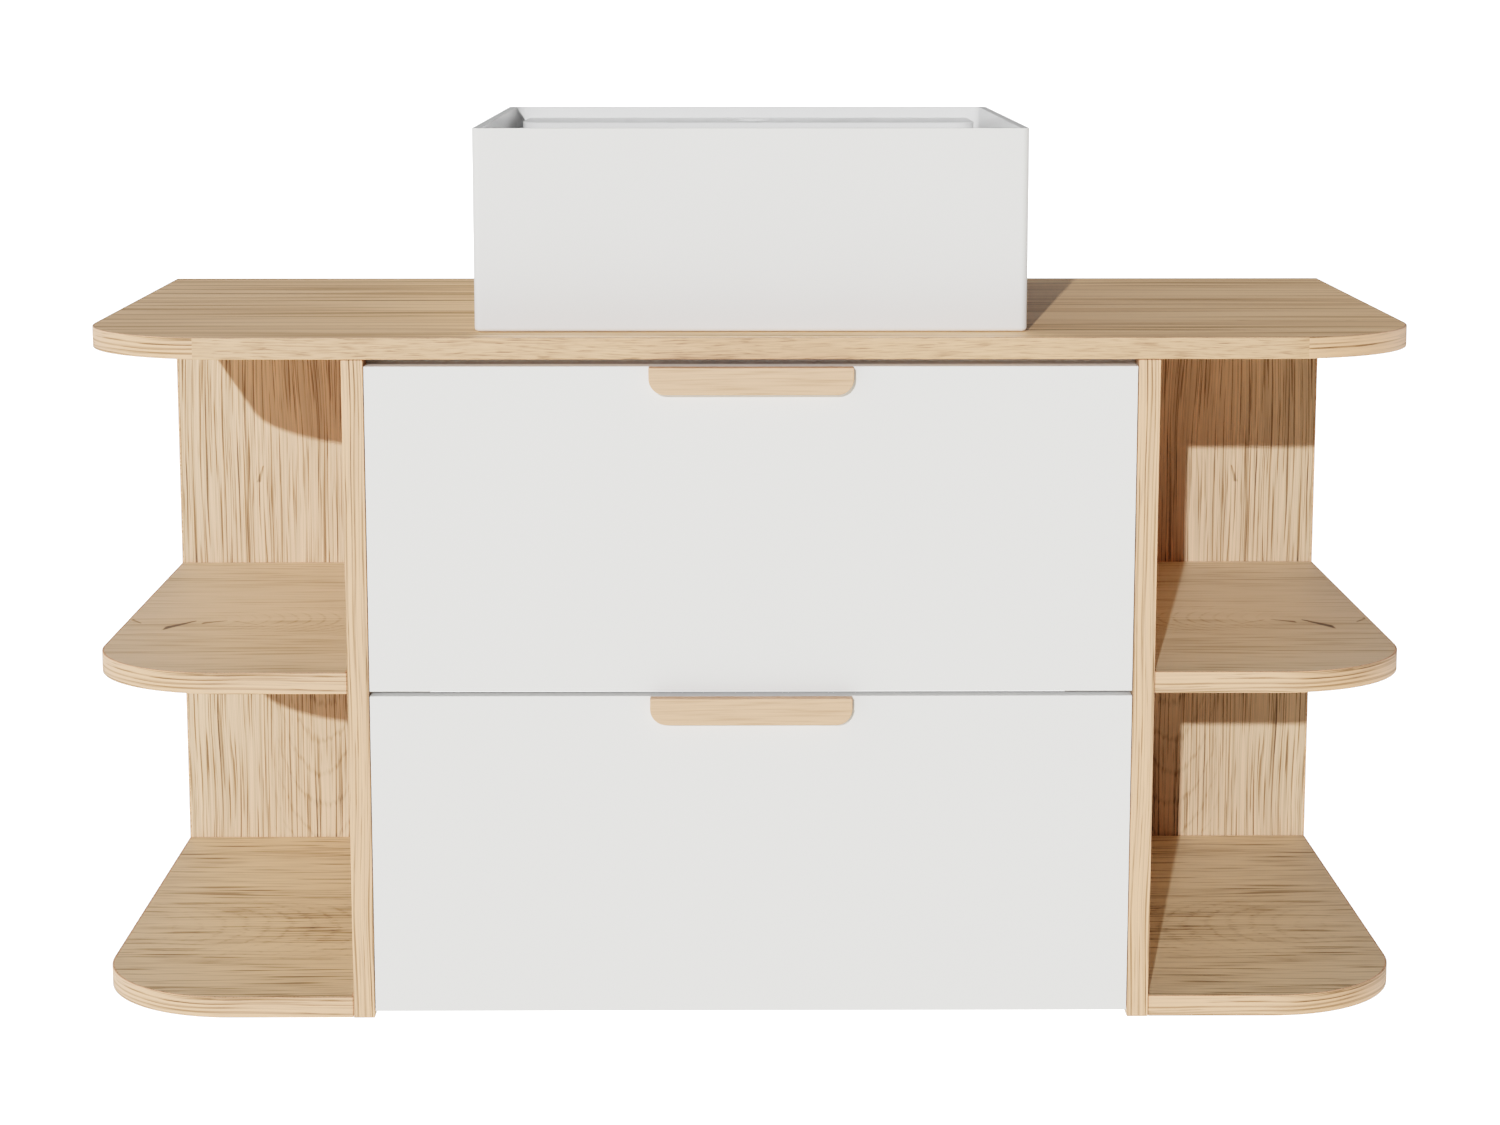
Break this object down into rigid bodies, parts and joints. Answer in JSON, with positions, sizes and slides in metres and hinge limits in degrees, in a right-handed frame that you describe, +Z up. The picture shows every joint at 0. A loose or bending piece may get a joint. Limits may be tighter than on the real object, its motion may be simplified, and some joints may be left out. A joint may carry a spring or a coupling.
{
  "type": "vessel sink on vanity",
  "caption": "Wall-hung bathroom vanity with inset drawers between open shelf units, a worktop with rounded front corners and a square vessel basin with a push-open waste.",
  "frame": {"origin": "on the wall plane, at the centre of the back face of the hanging rail", "axes": "+X to the right as seen from the front, +Y into the wall, +Z up; the drawers open towards -Y"},
  "size_m": [1, 0.4903, 0.6663],
  "materials": {
    "oak": "oak-effect veneer, satin",
    "white": "matt white lacquer",
    "melamine": "white melamine",
    "hardboard": "white-faced hardboard",
    "ceramic": "white glaze",
    "steel": "zinc plated",
    "chrome": "polished",
    "brass": "plain",
    "plastic": "white, smooth",
    "rubber": "black"
  },
  "bodies": {
    "carcass": {"worktop": "oak", "left_partition": "oak", "right_partition": "oak", "left_back_panel": "oak", "right_back_panel": "oak", "left_middle_shelf": "oak", "right_middle_shelf": "oak", "left_bottom_shelf": "oak", "right_bottom_shelf": "oak", "front_crossbar": "white", "hanging_rail": "white", "lower_rail": "white", "left_hanging_bracket": "steel", "right_hanging_bracket": "steel", "basin": "ceramic", "waste_body": "chrome", "wall_flange": "chrome", "basin_gasket": "rubber", "waste_washer": "rubber", "waste_nut": "brass", "trap_inlet_tube": "plastic", "trap_inlet_nut": "plastic", "trap_body": "plastic", "trap_cup": "plastic", "trap_outlet_tube": "plastic", "trap_outlet_nut": "plastic", "upper_left_runner_cabinet": "steel", "upper_right_runner_cabinet": "steel", "lower_left_runner_cabinet": "steel", "lower_right_runner_cabinet": "steel"},
    "upper_drawer": {"upper_drawer_pull": "oak", "upper_drawer_front": "white", "upper_pull_screw_left": "steel", "upper_drawer_left_side": "melamine", "upper_left_runner_drawer": "steel", "upper_pull_screw_right": "steel", "upper_drawer_right_side": "melamine", "upper_right_runner_drawer": "steel", "upper_drawer_bottom": "hardboard", "upper_drawer_back_left": "melamine", "upper_drawer_well_left": "melamine", "upper_drawer_back_right": "melamine", "upper_drawer_well_right": "melamine", "upper_drawer_well_front": "melamine"},
    "lower_drawer": {"lower_drawer_pull": "oak", "lower_drawer_front": "white", "lower_pull_screw_left": "steel", "lower_drawer_left_side": "melamine", "lower_left_runner_drawer": "steel", "lower_pull_screw_right": "steel", "lower_drawer_right_side": "melamine", "lower_right_runner_drawer": "steel", "lower_drawer_bottom": "hardboard", "lower_drawer_back": "melamine"},
    "upper_runner_middle": {"upper_left_runner_middle": "steel", "upper_right_runner_middle": "steel"},
    "lower_runner_middle": {"lower_left_runner_middle": "steel", "lower_right_runner_middle": "steel"},
    "waste_cap": {"waste_cap": "chrome"}
  },
  "joints": [
    {"name": "upper_drawer_slide", "type": "slide", "parent": "carcass", "child": "upper_drawer", "axis": [0, -1, 0], "range_m": [0, 0.4]},
    {"name": "upper_runner_slide", "type": "slide", "parent": "carcass", "child": "upper_runner_middle", "axis": [0, -1, 0], "range_m": [0, 0.2]},
    {"name": "lower_drawer_slide", "type": "slide", "parent": "carcass", "child": "lower_drawer", "axis": [0, -1, 0], "range_m": [0, 0.4]},
    {"name": "lower_runner_slide", "type": "slide", "parent": "carcass", "child": "lower_runner_middle", "axis": [0, -1, 0], "range_m": [0, 0.2]},
    {"name": "waste_cap_slide", "type": "slide", "parent": "carcass", "child": "waste_cap", "axis": [0, 0, 1], "range_m": [0, 0.008]}
  ],
  "couplings": [
    {"joint": "upper_runner_slide", "follows": "upper_drawer_slide", "ratio": 0.5},
    {"joint": "lower_runner_slide", "follows": "lower_drawer_slide", "ratio": 0.5}
  ]
}
